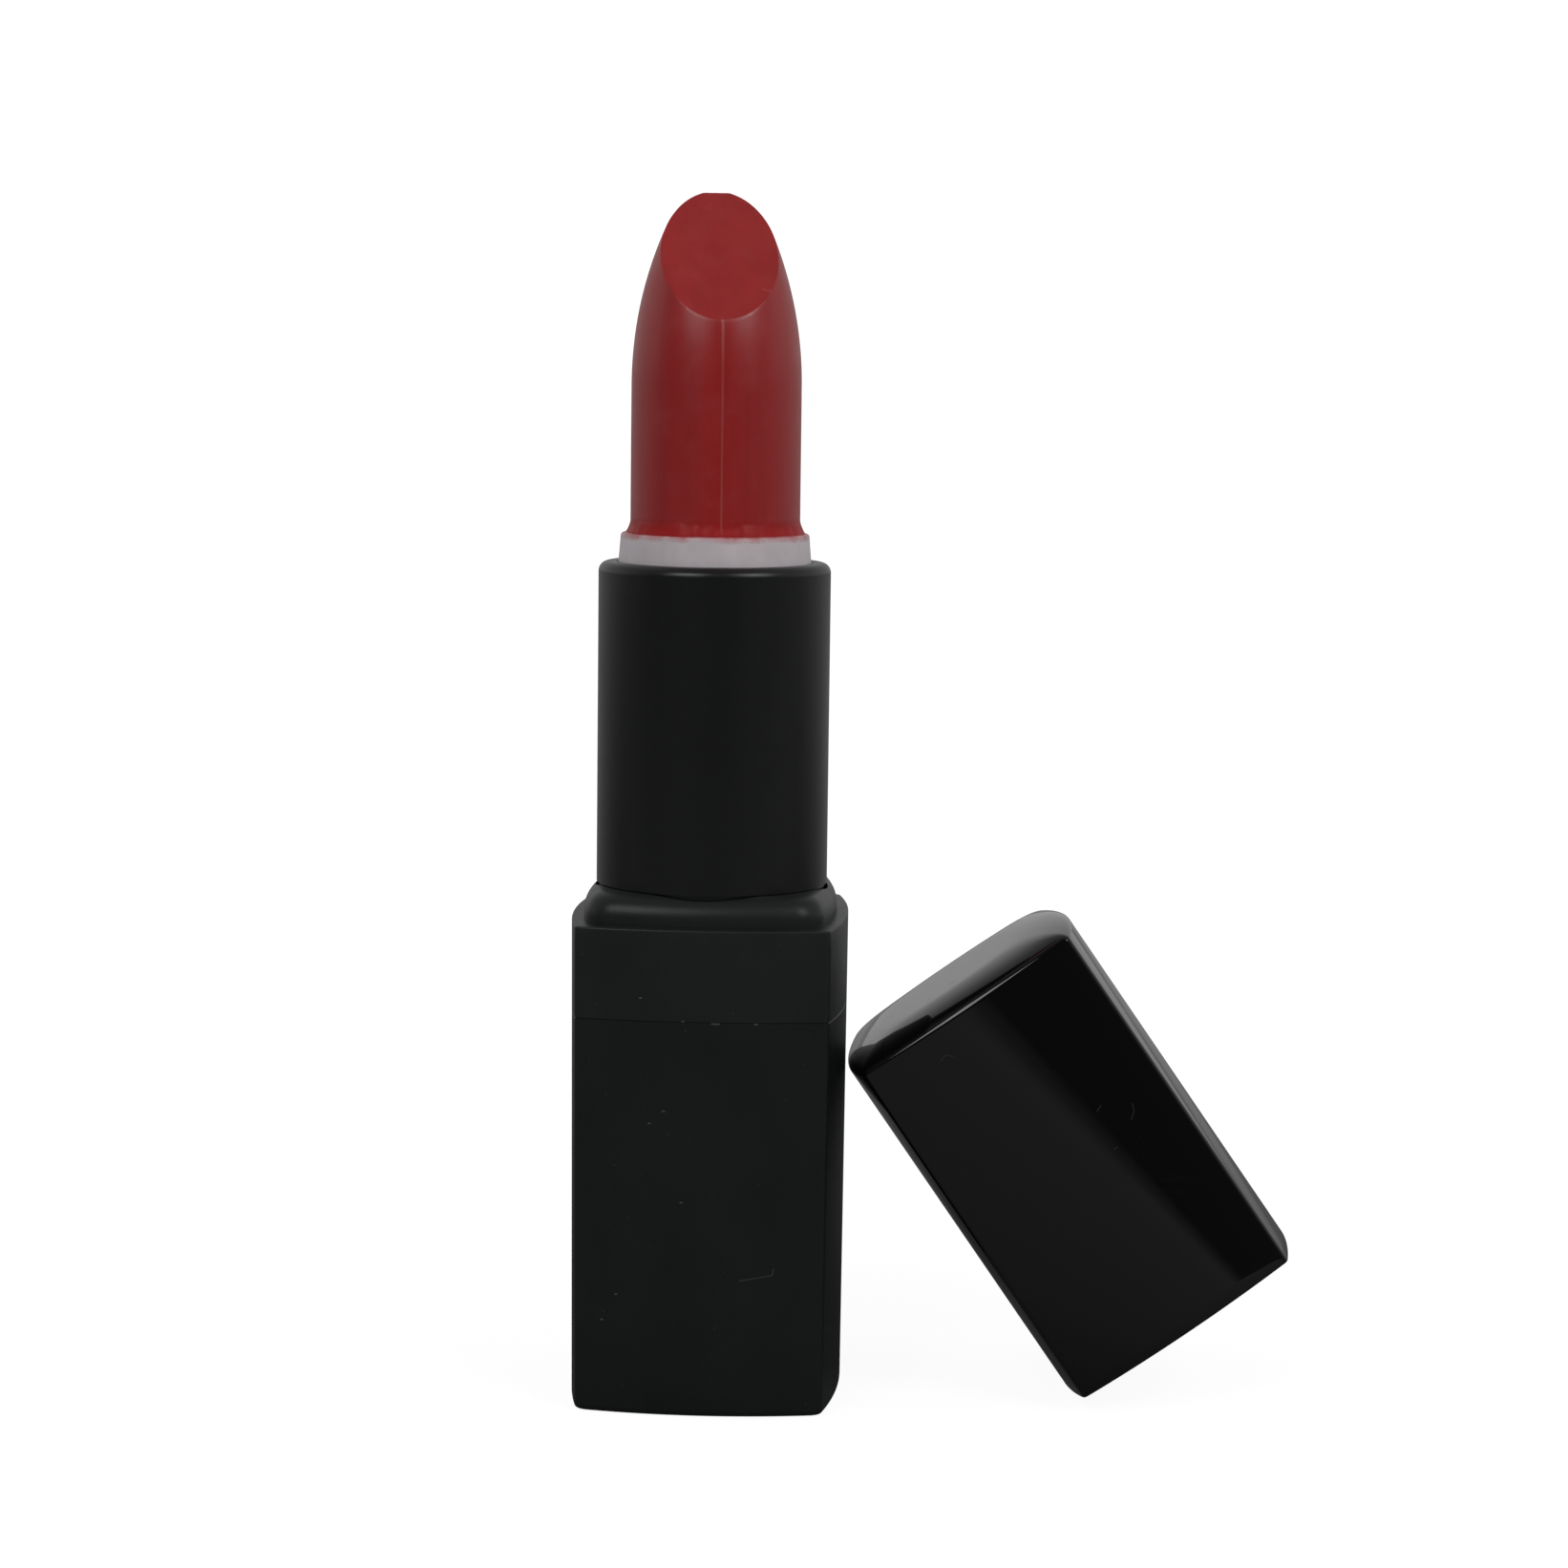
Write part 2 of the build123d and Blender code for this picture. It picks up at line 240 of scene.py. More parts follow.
def collar():
    edge_r = 0.12
    seam_r = 0.05
    margin = 0.85
    boss_corner_r = 2.3
    boss_edge_r = 1.6
    opening_r = SLEEVE_R + 0.08
    skirt_inset = CASE_WALL + FIXED_GAP
    rings = [case_ring(SKIRT_Z, skirt_inset), case_ring(SEAM_Z, skirt_inset)]
    rings += [case_ring(SEAM_Z, seam_r), case_ring(SEAM_Z + seam_r)]
    rings += [case_ring(z) for z in np.linspace(SEAM_Z + 0.6, LEDGE_Z - edge_r, 8)]
    for step in range(1, 5):
        t = step / 4 * pi / 2
        rings.append(case_ring(LEDGE_Z - edge_r * (1 - sin(t)), edge_r * (1 - cos(t))))
    outline = pillow(case_half(LEDGE_Z) - margin, CASE_BOW, boss_corner_r)
    reach = np.hypot(outline[:, 0], outline[:, 1])
    rings.append(level(outline, LEDGE_Z))
    rings.append(level(outline, (LEDGE_Z + BOSS_TOP_Z - boss_edge_r) / 2))
    steps = 20
    for step in range(steps + 1):
        inset = (reach - opening_r) * (step / steps) ** 2
        depth = np.clip(boss_edge_r - inset, 0, boss_edge_r)
        height = BOSS_TOP_Z - boss_edge_r + np.sqrt(boss_edge_r**2 - depth**2)
        rings.append(np.column_stack([outline * (1 - inset / reach)[:, None], height]))
    rings.append(level(on_circle(outline, opening_r), SKIRT_Z))
    place = {"body": "base", "replaces": ["collar"], "slot": "case_black"}
    return skin("collar_case", rings, 30, looped=True, **place)


def sleeve():
    edge_r = 0.7
    lip_edge_r = 0.15
    lip_t = 0.55
    neck_depth = 0.2
    neck_low = BOSS_TOP_Z - 0.8
    neck_top = BOSS_TOP_Z + 0.05
    lip_r = SLEEVE_R - 1.33
    bore_r = SLEEVE_R - 0.42
    lip_edge_z = SLEEVE_TOP_Z - lip_edge_r
    profile = [(bore_r, SLEEVE_FOOT_Z), (SLEEVE_R, SLEEVE_FOOT_Z), (SLEEVE_R, neck_low)]
    profile += [(SLEEVE_R - neck_depth, neck_low), (SLEEVE_R - neck_depth, neck_top), (SLEEVE_R, neck_top)]
    profile += [(SLEEVE_R, SLEEVE_TOP_Z - 8)]
    profile += arc((SLEEVE_R - edge_r, SLEEVE_TOP_Z - edge_r), edge_r, 0, 90, 12)
    profile += arc((lip_r + lip_edge_r, lip_edge_z), lip_edge_r, 90, 180, 4)
    profile += [(lip_r, SLEEVE_TOP_Z - lip_t), (bore_r, SLEEVE_TOP_Z - lip_t)]
    place = {"body": "sleeve", "replaces": ["sleeve"], "slot": "sleeve_black"}
    return skin("round_sleeve", lathe(profile), 40, looped=True, **place)


# ---- the bullet ---------------------------------------------------------------------------

def stick_r(z):
    """Radius of the moulded stick at height z."""
    rise = max(z - SHOULDER_Z, 0)
    return BULLET_R - NOSE_ARC_R + sqrt(NOSE_ARC_R**2 - rise**2)


def slant_edge_z(turn):
    """Height at which the stick's side meets the slanted face, at one turn round the axis."""
    facing = cos(turn - SEAM_TURN)
    low, high = SHOULDER_Z, NOSE_TOP_Z
    for _ in range(40):
        middle = (low + high) / 2
        if middle < SLANT_AXIS_Z - tan(SLANT_ANGLE) * stick_r(middle) * facing:
            low = middle
        else:
            high = middle
    return low


def slanted(points):
    """The points dropped straight down onto the slanted face, below the blunt tip."""
    x, y = points[:, 0], points[:, 1]
    backwards = x * cos(SLANT_TURN + pi / 2) + y * sin(SLANT_TURN + pi / 2)
    height = SLANT_AXIS_Z + tan(SLANT_ANGLE) * backwards
    return np.column_stack([x, y, np.minimum(height, NOSE_TOP_Z)])


def noise_round(turn, detail, z):
    """Smooth noise that closes on itself round the axis, between -1 and 1."""
    return noise.noise(Vector((detail * cos(turn), detail * sin(turn), z)))


def side_point(turn, z):
    """A point of the side: melted lip at the cup, a parting line front and back, slight waves."""
    ridge = 0.03
    ridge_width = 0.06
    waviness = 0.012
    swell = noise_round(turn, 2.2, 0.7) * 0.5 + 0.5
    drip = noise_round(turn, 9, 0.3)
    lip_height = 0.5 + 0.6 * swell + 0.2 * drip
    lip_bulge = 0.22 + 0.16 * swell + 0.08 * drip
    melted = max(0.0, 1 - (z - LIP_Z) / lip_height)
    r = stick_r(z) + lip_bulge * melted**1.6
    from_seam = min(abs((turn - SEAM_TURN + k * pi + pi) % (2 * pi) - pi) for k in (0, 1))
    r += ridge * exp(-((from_seam * r / ridge_width) ** 2))
    r += waviness * noise_round(turn, 3, z * 0.12)
    return (r * cos(turn), r * sin(turn), z)


def bullet():
    count = 320
    rows = 90
    gathering = 0.4      # how far the points are drawn together at the front and back seams
    foot_r = BULLET_R - 0.02
    even = np.arange(count) * 2 * pi / count
    turns = even - gathering * np.sin(2 * (even - SEAM_TURN))
    edge = [slant_edge_z(t) for t in turns]
    rings = [[(foot_r * cos(t), foot_r * sin(t), z) for t in turns] for z in (BULLET_FOOT_Z, LIP_Z)]
    for row in range(rows + 1):
        share = (row / rows) ** 1.5
        rings.append([side_point(t, LIP_Z + (e - LIP_Z) * share) for t, e in zip(turns, edge)])
    rim = np.array(rings[-1])
    middle = rim.mean(axis=0)
    for share in (0.985, 0.95, 0.88, 0.78, 0.65, 0.5, 0.34, 0.18, 0.06):
        rings.append(slanted(middle + (rim - middle) * share))
    place = {"body": "cup", "replaces": ["lipstick_bullet"], "slot": "lipstick_wax"}
    made = skin("bullet_stick", rings, 50, **place)
    rounding = made.modifiers.new("edge", "BEVEL")
    rounding.width = 0.045 * MM
    rounding.segments = 2
    rounding.limit_method = "ANGLE"
    rounding.angle_limit = radians(38)
    made.modifiers.move(1, 0)
    return made


# ---- the cap ------------------------------------------------------------------------------

def cap_matrix():
    """Place of the leaning cap, from the bore mount in the record."""
    bore = next(m for m in frame["record"]["mounts"] if m["name"] == "cap_bore")
    upwards = -Vector(bore["axis"])
    sideways = Vector((0, 1, 0)).cross(upwards)
    turned = Matrix((sideways, Vector((0, 1, 0)), upwards)).transposed().to_4x4()
    liner_gap = 0.25      # how far the closed cap's liner stands above the boss
    liner_low = BOSS_TOP_Z - LEDGE_Z + liner_gap
    rim = Vector(bore["pos_m"]) - upwards * (liner_low * MM + bore["dims"]["length_mm"] / 2 * MM)
    return Matrix.Translation(rim) @ turned @ Matrix.Rotation(CAP_TWIST, 4, "Z")


def cap_ring(z, inset=0.0):
    """The cap's outline at height z above its own rim, drawn in by inset."""
    half = CAP_HALF_OPEN + (CAP_HALF_TOP - CAP_HALF_OPEN) * z / CAP_LENGTH
    corner_r = max(CORNER_R - inset / 3, 0.15)
    return level(pillow(half - inset, CAP_BOW, corner_r), z)


def cap_shell():
    rim_r = 0.15
    inside = [cap_ring(z, CAP_WALL) for z in (CAP_LENGTH - CAP_ROOF_INSET, 14, rim_r)]
    rim = [cap_ring(0, CAP_WALL - rim_r)]
    for step in range(5):
        t = step / 4 * pi / 2
        rim.append(cap_ring(rim_r * (1 - cos(t)), rim_r * (1 - sin(t))))
    sides = [cap_ring(z) for z in np.linspace(1, CAP_LENGTH - 1, 22)]
    sides.append(cap_ring(CAP_LENGTH - 0.05))
    crown = []
    steps = 40
    for step in range(steps + 1):
        turn = (step / steps) ** 1.5 * pi / 2
        inset = DOME_SPAN * (1 - cos(turn))
        outline = pillow(CAP_HALF_TOP - inset, CAP_BOW, CORNER_R + inset / 2)
        crown.append(level(outline, CAP_LENGTH + DOME_RISE * sin(turn)))
    flat = [crown[-1] * np.array([s, s, 1]) for s in (0.8, 0.6, 0.4, 0.2)]
    leaning = cap_matrix()
    rings = [
        np.array([leaning @ (Vector(p) * MM) / MM for p in ring])
        for ring in inside + rim + sides + crown + flat
    ]
    place = {"body": "cap", "replaces": ["cap_shell"], "slot": "cap_gloss_black"}
    return skin("cap_cover", rings, 30, **place)


# ---- materials ----------------------------------------------------------------------------

class Look:
    """A material made of nodes, with short calls for the nodes that every look shares."""

    def __init__(self, name):
        self.material = bpy.data.materials.new(name)
        self.material.use_nodes = True
        self.tree = self.material.node_tree
        self.shader = self.tree.nodes["Principled BSDF"]
        self.place = self.add("ShaderNodeTexCoord").outputs["Object"]

    def add(self, kind, settings=None, **inputs):
        node = self.tree.nodes.new(kind)
        for key, value in (settings or {}).items():
            setattr(node, key, value)
        for key, value in inputs.items():
            self.feed(node.inputs[key.replace("_", " ")], value)
        return node

    def feed(self, socket, value):
        if isinstance(value, bpy.types.NodeSocket):
            self.tree.links.new(value, socket)
        else:
            socket.default_value = value

    def set(self, **inputs):
        for key, value in inputs.items():
            self.feed(self.shader.inputs[key.replace("_", " ")], value)

    def stretched(self, x, y, z):
        """Object coordinates in millimetres, scaled along each axis."""
        scaled = self.add("ShaderNodeMapping", Vector=self.place)
        scaled.inputs["Scale"].default_value = (x / MM, y / MM, z / MM)
        return scaled.outputs[0]

    def noise(self, vector, scale=1.0, detail=3.0, roughness=0.5):
        made = self.add("ShaderNodeTexNoise", Vector=vector, Scale=scale, Detail=detail, Roughness=roughness)
        return made.outputs["Fac"]

    def span(self, value, low, high, to_low=0.0, to_high=1.0):
        """value mapped from one range to another, and kept inside it."""
        made = self.add("ShaderNodeMapRange", Value=value)
        for key, number in (("From Min", low), ("From Max", high), ("To Min", to_low), ("To Max", to_high)):
            made.inputs[key].default_value = number
        return made.outputs[0]

    def math(self, operation, a, b=0.0):
        made = self.add("ShaderNodeMath", {"operation": operation})
        self.feed(made.inputs[0], a)
        self.feed(made.inputs[1], b)
        return made.outputs[0]

    def vector(self, operation, a, b=None):
        made = self.add("ShaderNodeVectorMath", {"operation": operation})
        self.feed(made.inputs[0], a)
        if b is not None:
            self.feed(made.inputs["Scale" if operation == "SCALE" else 1], b)
        return made.outputs["Value" if operation in ("LENGTH", "DOT_PRODUCT") else "Vector"]

    def mix(self, share, a, b):
        """Colour a where share is 0 and b where it is 1."""
        made = self.add("ShaderNodeMix", {"data_type": "RGBA"})
        self.feed(made.inputs["Factor"], share)
        colour_a, colour_b = made.inputs[6], made.inputs[7]
        self.feed(colour_a, a)
        self.feed(colour_b, b)
        return made.outputs[2]

    def bump(self, height, distance_mm, strength=1.0, normal=None):
        made = self.add("ShaderNodeBump", Height=height, Strength=strength)
        made.inputs["Distance"].default_value = distance_mm * MM
        if normal is not None:
            self.feed(made.inputs["Normal"], normal)
        return made.outputs[0]

    def specks(self, per_mm, size):
        """Sparse round specks: 1 on a speck and 0 elsewhere."""
        cells = self.add("ShaderNodeTexVoronoi", Vector=self.stretched(per_mm, per_mm, per_mm), Scale=1.0)
        return self.span(cells.outputs["Distance"], size, size * 0.6)

    def stroke(self, start, end, width):
        """A short mark between two points of the object, in millimetres: 1 on it and 0 elsewhere."""
        start, run = Vector(start), Vector(end) - Vector(start)
        way = self.vector("SUBTRACT", self.stretched(1, 1, 1), start)
        share = self.math("MULTIPLY", self.vector("DOT_PRODUCT", way, run), 1 / run.length_squared)
        nearest = self.vector("SCALE", run, self.span(share, 0, 1))
        off = self.vector("LENGTH", self.vector("SUBTRACT", way, nearest))
        return self.span(off, width / 2, width / 5)

    def strokes(self, marks, width):
        """Several marks at once, each from a start to an end."""
        found = 0.0
        for start, end in marks:
            found = self.math("MAXIMUM", found, self.stroke(start, end, width))
        return found

    def hairlines(self, across, along):
        """Thin, faint scratches that run mostly one way."""
        field = self.noise(self.stretched(across, across, along), 1.0, 4.0, 0.6)
        return self.span(self.math("ABSOLUTE", self.math("SUBTRACT", field, 0.5)), 0.006, 0.0)


def grey(value):
    return (value, value, value, 1)


def cool(value):
    """Nearly black plastic, a trace greener and bluer than grey."""
    return (value * 0.9, value * 1.04, value * 1.06, 1)


def on_case(x, z):
    """A point of the case's front, in millimetres."""
    return (x, -side_reach(case_half(z), CASE_BOW, x), z)


def on_stick(turn, z):
    """A point of the bullet's side, in millimetres."""
    return (stick_r(z) * cos(turn), stick_r(z) * sin(turn), z)


def on_slant(x, y):
    """A point of the bullet's slanted face, in millimetres."""
    return tuple(slanted(np.array([[x, y]]))[0])


def flecks(places, length):
    """Short level marks on the case's front, at (x, z) places."""
    return [(on_case(x, z), on_case(x + length, z)) for x, z in places]


def on_cap(x, z):
    """A point of the leaning cap's front, from its own height z and place x across it."""
    return tuple(cap_matrix() @ (Vector((x, -side_reach(CAP_HALF_TOP, CAP_BOW, x), z)) * MM) / MM)


def on_crown(x, y):
    """A point of the leaning cap's flat crown."""
    return tuple(cap_matrix() @ (Vector((x, y, CAP_LENGTH + DOME_RISE)) * MM) / MM)


def satin_case(name, shade, scratches, specks):
    """Satin black with a fine moulded grain, faint finger marks, dust, scratches and pale specks."""
    look = Look(name)
    grain = look.noise(look.stretched(9, 9, 9), 1.0, 2.0)
    smudge = look.noise(look.stretched(0.14, 0.14, 0.1), 1.0, 4.0, 0.6)
    dust = look.math("MAXIMUM", look.specks(0.9, 0.035), look.strokes(specks, 0.14))
    rubs = look.hairlines(0.35, 1.3)
    worn = look.strokes(scratches, 0.09)
    base = look.mix(look.span(smudge, 0.35, 0.7), cool(shade), cool(shade * 1.3))
    pale = look.math("MAXIMUM", look.math("MULTIPLY", dust, 0.2), look.math("MULTIPLY", worn, 0.12))
    look.set(Base_Color=look.mix(pale, base, grey(0.4)), Specular_IOR_Level=0.27)
    roughness = look.span(smudge, 0.3, 0.75, 0.34, 0.44)
    look.set(Roughness=look.math("SUBTRACT", roughness, look.math("MULTIPLY", rubs, 0.08)))
    normal = look.bump(grain, 0.012, 0.35)
    look.set(Normal=look.bump(look.math("MAXIMUM", rubs, worn), -0.004, 0.4, normal))
    return look.material


def satin_sleeve(name):
    """Black anodised metal: fine lines round the sleeve and a soft sheen."""
    look = Look(name)
    rings = look.noise(look.stretched(0.3, 0.3, 22), 1.0, 3.0, 0.6)
    wipe = look.noise(look.stretched(0.2, 0.2, 0.08), 1.0, 4.0, 0.6)
    rubs = look.hairlines(0.5, 0.12)
    look.set(Base_Color=look.mix(wipe, cool(0.003), cool(0.005)), Specular_IOR_Level=0.45)
    roughness = look.span(wipe, 0.3, 0.7, 0.3, 0.35)
    look.set(Roughness=look.math("ADD", roughness, look.math("MULTIPLY", rubs, 0.05)))
    normal = look.bump(rings, 0.006, 0.3)
    look.set(Normal=look.bump(rubs, -0.003, 0.3, normal))
    return look.material


def gloss_cap(name):
    """Polished gloss black with hairline scratches, faint smears and a little dust."""
    look = Look(name)
    smear = look.noise(look.stretched(0.12, 0.12, 0.3), 1.0, 5.0, 0.65)
    long_lines = look.hairlines(0.12, 1.1)
    cross_lines = look.hairlines(1.2, 0.15)
    lines = look.math("MAXIMUM", long_lines, cross_lines)
    patch = look.span(look.noise(look.stretched(0.1, 0.1, 0.1), 1.0, 2.0), 0.5, 0.62)
    lines = look.math("MULTIPLY", lines, patch)
    front_marks = [
        (on_cap(3.5, 16.8), on_cap(4.0, 17.0)),
        (on_cap(5.2, 14.9), on_cap(5.7, 15.3)),
        (on_cap(5.7, 15.3), on_cap(5.9, 15.8)),
        (on_cap(-3.6, 26.0), on_cap(-3.1, 26.2)),
        (on_cap(-3.1, 26.2), on_cap(-2.7, 25.8)),
        (on_cap(3.0, 13.9), on_cap(3.3, 13.9)),
    ]
    crown_marks = [
        (on_crown(-0.2, -3.6), on_crown(0.4, -3.6)),
        (on_crown(-2.1, -4.3), on_crown(-1.9, -4.1)),
        (on_crown(-4.1, -3.5), on_crown(-4.0, -3.5)),
    ]
    dents = look.strokes(crown_marks, 0.16)
    dust = look.math("MAXIMUM", look.specks(1.1, 0.03), look.strokes(front_marks, 0.08))
    base = look.mix(look.math("MULTIPLY", dust, 0.08), grey(0.002), grey(0.3))
    look.set(Base_Color=base, Specular_IOR_Level=look.span(dents, 0, 1, 0.5, 0.1))
    roughness = look.span(smear, 0.4, 0.75, 0.03, 0.07)
    rough_spots = look.math("MAXIMUM", dust, dents)
    look.set(Roughness=look.math("ADD", roughness, look.math("MULTIPLY", rough_spots, 0.3)))
    ripple = look.noise(look.stretched(0.16, 0.16, 0.16), 1.0, 2.0)
    normal = look.bump(ripple, 0.02, 0.15)
    look.set(Normal=look.bump(lines, -0.0025, 0.35, normal))
    return look.material


def wax(name):
    """Deep red wax: soft light inside, faint upright streaks, a dull bloom and tiny dark specks."""
    look = Look(name)
    streak = look.noise(look.stretched(0.55, 0.55, 0.03), 1.0, 4.0, 0.6)
    cloud = look.noise(look.stretched(0.5, 0.5, 0.5), 1.0, 5.0, 0.65)
    # tiny dark specks, in the colour only, with no hollow in the surface
    dark_specks = look.specks(2.0, 0.05)
    base = look.mix(look.span(streak, 0.35, 0.65), (0.37, 0.007, 0.008, 1), (0.42, 0.011, 0.012, 1))
    base = look.mix(look.math("MULTIPLY", look.span(cloud, 0.5, 0.8), 0.25), base, (0.44, 0.05, 0.052, 1))
    base = look.mix(look.math("MULTIPLY", dark_specks, 0.35), base, (0.1, 0.004, 0.006, 1))
    line_heights = (CUP_TOP_Z + 0.4, SHOULDER_Z, 75.0, 76.9)
    line = [on_stick(SEAM_TURN, z) for z in line_heights]
    marks = list(zip(line, line[1:])) + [(on_slant(3.4, -3.34), on_slant(4.0, -3.37))]
    rubs = look.math("MULTIPLY", look.hairlines(0.8, 0.25), look.span(cloud, 0.45, 0.65))
    pale = look.math("MAXIMUM", look.strokes(marks, 0.2), look.math("MULTIPLY", rubs, 0.5))
    look.set(Base_Color=look.mix(look.math("MULTIPLY", pale, 0.3), base, (0.5, 0.13, 0.12, 1)))
    look.set(Subsurface_Weight=0.3, Subsurface_Scale=0.3 * MM)
    look.shader.inputs["Subsurface Radius"].default_value = (1.0, 0.25, 0.2)
    height = look.add("ShaderNodeSeparateXYZ", Vector=look.stretched(1, 1, 1)).outputs["Z"]
    melted = look.span(height, CUP_TOP_Z + 1.2, CUP_TOP_Z + 0.6)
    look.set(Specular_IOR_Level=look.span(melted, 0, 1, 0.66, 0.2))
    dull = look.math("MULTIPLY", melted, 0.1)
    look.set(Roughness=look.math("ADD", look.span(cloud, 0.35, 0.7, 0.33, 0.41), dull))
    look.set(Sheen_Weight=0.06, Sheen_Roughness=0.4, Sheen_Tint=(1.0, 0.45, 0.45, 1))
    grain = look.noise(look.stretched(6, 6, 3), 1.0, 4.0, 0.6)
    normal = look.bump(grain, 0.006, 0.3)
    look.set(Normal=look.bump(streak, 0.03, 0.2, normal))
    return look.material


def milky_plastic(name):
    """Translucent lilac white, with a red smear of wax along its top edge."""
    look = Look(name)
    height = look.add("ShaderNodeSeparateXYZ", Vector=look.stretched(1, 1, 1)).outputs["Z"]
    cloud = look.noise(look.stretched(0.8, 0.8, 0.5), 1.0, 4.0, 0.6)
    reach = look.math("ADD", height, look.math("MULTIPLY", cloud, 0.8))
    stain = look.span(reach, CUP_TOP_Z - 0.05, CUP_TOP_Z + 0.45)
    tint = look.mix(look.span(cloud, 0.3, 0.7), (0.69, 0.63, 0.66, 1), (0.77, 0.71, 0.74, 1))
    look.set(Base_Color=look.mix(stain, tint, (0.5, 0.12, 0.13, 1)))
    look.set(Roughness=look.span(cloud, 0.3, 0.7, 0.28, 0.4))
    look.set(Subsurface_Weight=0.5, Subsurface_Scale=0.8 * MM, Specular_IOR_Level=0.5)
    look.shader.inputs["Subsurface Radius"].default_value = (1.0, 0.8, 0.85)
    look.set(Normal=look.bump(look.noise(look.stretched(3, 3, 1.5)), 0.008, 0.3))
    return look.material


def moulded(name, colour, roughness):
    """Plain moulded plastic: slight flow marks and a fine grain."""
    look = Look(name)
    flow = look.noise(look.stretched(0.4, 0.4, 0.12), 1.0, 4.0, 0.6)
    darker = tuple(c * 0.82 for c in colour)
    look.set(Base_Color=look.mix(flow, (*darker, 1), (*colour, 1)))
    look.set(Roughness=look.span(flow, 0.3, 0.7, roughness - 0.06, roughness + 0.08))
    look.set(Normal=look.bump(look.noise(look.stretched(7, 7, 7)), 0.01, 0.3))
    return look.material


def zinc_steel(name):
    """Turned steel with a dull zinc finish."""
    look = Look(name)
    turning = look.noise(look.stretched(0.6, 0.6, 12), 1.0, 3.0)
    spangle = look.add("ShaderNodeTexVoronoi", Vector=look.stretched(0.6, 0.6, 0.6), Scale=1.0)
    share = look.span(spangle.outputs["Distance"], 0.0, 0.9)
    look.set(Base_Color=look.mix(share, grey(0.42), grey(0.6)), Metallic=1.0)
    look.set(Roughness=look.span(turning, 0.3, 0.7, 0.25, 0.42))
    look.set(Normal=look.bump(turning, 0.01, 0.4))
    return look.material


def satin_film(name):
    """Blank silver-grey label film with a fine paper grain."""
    look = Look(name)
    fibre = look.noise(look.stretched(4, 1.2, 4), 1.0, 5.0, 0.7)
    look.set(Base_Color=look.mix(fibre, grey(0.5), grey(0.66)), Metallic=0.2)
    look.set(Roughness=look.span(fibre, 0.3, 0.7, 0.38, 0.52))
    look.set(Normal=look.bump(fibre, 0.006, 0.4))
    return look.material


def paint(thing, material):
    if not thing.material_slots:
        thing.data.materials.append(material)
    for material_slot in thing.material_slots:
        material_slot.material = material


# ---- the studio ---------------------------------------------------------------------------

def ramp(tree, source, stops, low, high):
    """A grey that follows source through stops of (value, grey) between low and high."""
    scale = tree.nodes.new("ShaderNodeMapRange")
    scale.inputs["From Min"].default_value = low
    scale.inputs["From Max"].default_value = high
    tree.links.new(source, scale.inputs["Value"])
    made = tree.nodes.new("ShaderNodeValToRGB")
    made.color_ramp.interpolation = "EASE"
    tree.links.new(scale.outputs[0], made.inputs[0])
    elements = made.color_ramp.elements
    while len(elements) < len(stops):
        elements.new(0.5)
    for element, (position, value) in zip(elements, stops):
        element.position = (position - low) / (high - low)
        element.color = grey(value)
    return made.outputs[0]


def camera_only(tree, seen, reflected):
    """A shader that shows seen to the camera and reflected to every other ray."""
    path = tree.nodes.new("ShaderNodeLightPath")
    swap = tree.nodes.new("ShaderNodeMixShader")
    tree.links.new(path.outputs["Is Camera Ray"], swap.inputs[0])
    tree.links.new(reflected, swap.inputs[1])
    tree.links.new(seen, swap.inputs[2])
    return swap.outputs[0]


def pale_floor(name):
    """Nearly white to the camera; to the black parts, painted light and shade: bright far behind them, a
    painted shadow just behind them and dim in front.
    """
    look = Look(name)
    tree = look.tree
    mottle = look.noise(look.stretched(0.02, 0.02, 0.02), 1.0, 2.0)
    look.set(Base_Color=look.mix(mottle, grey(0.16), grey(0.17)), Roughness=0.9, Specular_IOR_Level=0.0)
    distance = look.vector("LENGTH", look.place)
    fade = ramp(tree, distance, [(0.0, 0.93), (0.03, 0.93), (0.2, 1.0)], 0, 0.4)
    look.set(Emission_Color=fade, Emission_Strength=1.0)
    parts = look.add("ShaderNodeSeparateXYZ", Vector=look.place)
    # painted light and shade for reflected rays: dim in front, a painted shadow just behind the object,
    # bright far behind it
    stops = [(-0.5, 0.17), (-0.25, 0.33), (-0.04, 0.33), (0.03, 0.12), (0.12, 0.25), (0.25, 0.6), (0.5, 0.85)]
    depth = ramp(tree, parts.outputs["Y"], stops, -1, 1)
    dim = look.add("ShaderNodeBsdfDiffuse", Color=depth)
    swapped = camera_only(tree, look.shader.outputs[0], dim.outputs[0])
    tree.links.new(swapped, tree.nodes["Material Output"].inputs[0])
    return look.material


def floor():
    """A plain flat floor, just below the object."""
    mesh = bpy.data.meshes.new("floor")
    far = 6.0
    mesh.from_pydata([(-far, -far, 0), (far, -far, 0), (far, far, 0), (-far, far, 0)], [], [(0, 1, 2, 3)])
    made = bpy.data.objects.new("floor", mesh)
    bpy.context.scene.collection.objects.link(made)
    made.location.z = -0.02 * MM
    paint(made, pale_floor("pale_floor"))


def softbox(name, place, target, width, height, power):
    data = bpy.data.lights.new(name, "AREA")
    data.shape = "RECTANGLE"
    data.size = width
    data.size_y = height
    data.energy = power
    made = bpy.data.objects.new(name, data)
    bpy.context.scene.collection.objects.link(made)
    made.location = place
    made.rotation_euler = (Vector(target) - Vector(place)).to_track_quat("-Z", "Y").to_euler()


